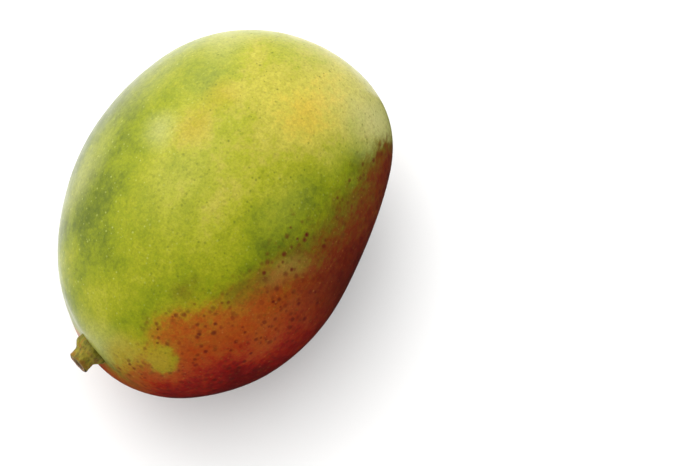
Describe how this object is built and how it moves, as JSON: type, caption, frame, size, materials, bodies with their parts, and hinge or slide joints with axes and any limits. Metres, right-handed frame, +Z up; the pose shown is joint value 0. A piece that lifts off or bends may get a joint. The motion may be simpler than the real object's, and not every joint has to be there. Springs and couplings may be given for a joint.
{
  "type": "mango",
  "caption": "Whole ripe mango: a blunt oval fruit with a slightly hooked apex and a short cut stem stub in a shallow saddle, lying on its flatter cheek.",
  "frame": {"origin": "middle of the bounding box at its lowest level, on the surface the fruit lies on", "axes": "+X from the stem end to the apex, +Y to the fuller green edge, with the red edge at -Y, +Z up from the resting cheek to the upper cheek"},
  "size_m": [0.1304, 0.0974, 0.0862],
  "materials": {
    "skin": "waxy semi-gloss fruit skin, yellow-green with a dark red blush along one edge",
    "stem": "matt green-brown woody stub with a dark cut end"
  },
  "bodies": {
    "root": {"fruit": "skin", "stem": "stem"}
  },
  "joints": []
}
